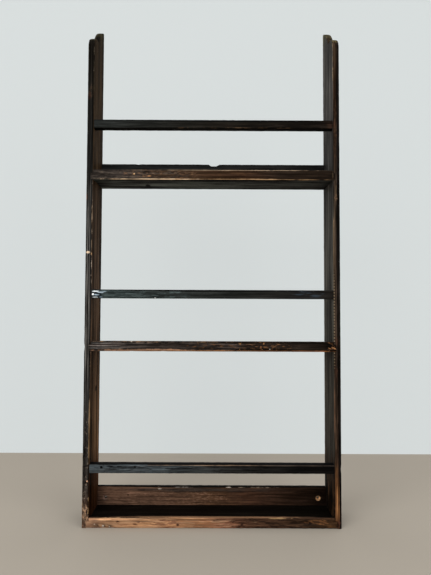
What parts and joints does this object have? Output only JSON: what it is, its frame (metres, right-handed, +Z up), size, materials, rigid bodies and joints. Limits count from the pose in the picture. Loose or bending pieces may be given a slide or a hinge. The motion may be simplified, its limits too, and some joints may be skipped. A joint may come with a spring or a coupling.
{
  "type": "paint rack organizer",
  "caption": "Tall narrow wooden rack with shallow lipped shelves, guard rails and back rails between two shaped side boards, for standing paint pots against a wall.",
  "frame": {"origin": "middle of the footprint, on the floor, under the bottom shelf", "axes": "+Z up along the side boards, +Y from the open front to the wall face, +X to the right seen from the front"},
  "size_m": [0.52, 0.078, 1.054],
  "materials": {
    "side_wood": "very dark stain, satin, worn to bare wood on the edges",
    "shelf_wood": "dark brown stain, satin, worn to bare wood on the front edge",
    "guard_rail_wood": "near-black stain, satin, lightly worn edges",
    "back_rail_wood": "dark reddish brown stain, satin",
    "nail_steel": "dull, tarnished bright steel"
  },
  "bodies": {
    "root": {"bottom_back_rail": "back_rail_wood", "bottom_back_rail_left_nail": "nail_steel", "bottom_back_rail_right_nail": "nail_steel", "bottom_guard_rail": "guard_rail_wood", "bottom_guard_rail_left_nail": "nail_steel", "bottom_guard_rail_right_nail": "nail_steel", "bottom_shelf": "shelf_wood", "bottom_shelf_left_nails": "nail_steel", "bottom_shelf_right_nails": "nail_steel", "left_side": "side_wood", "middle_guard_rail": "guard_rail_wood", "middle_guard_rail_left_nail": "nail_steel", "middle_guard_rail_right_nail": "nail_steel", "middle_shelf": "shelf_wood", "middle_shelf_left_nails": "nail_steel", "middle_shelf_right_nails": "nail_steel", "right_side": "side_wood", "top_back_rail": "back_rail_wood", "top_back_rail_left_nail": "nail_steel", "top_back_rail_right_nail": "nail_steel", "top_guard_rail": "guard_rail_wood", "top_guard_rail_left_nail": "nail_steel", "top_guard_rail_right_nail": "nail_steel", "top_shelf": "shelf_wood", "top_shelf_left_nails": "nail_steel", "top_shelf_right_nails": "nail_steel"}
  },
  "joints": []
}
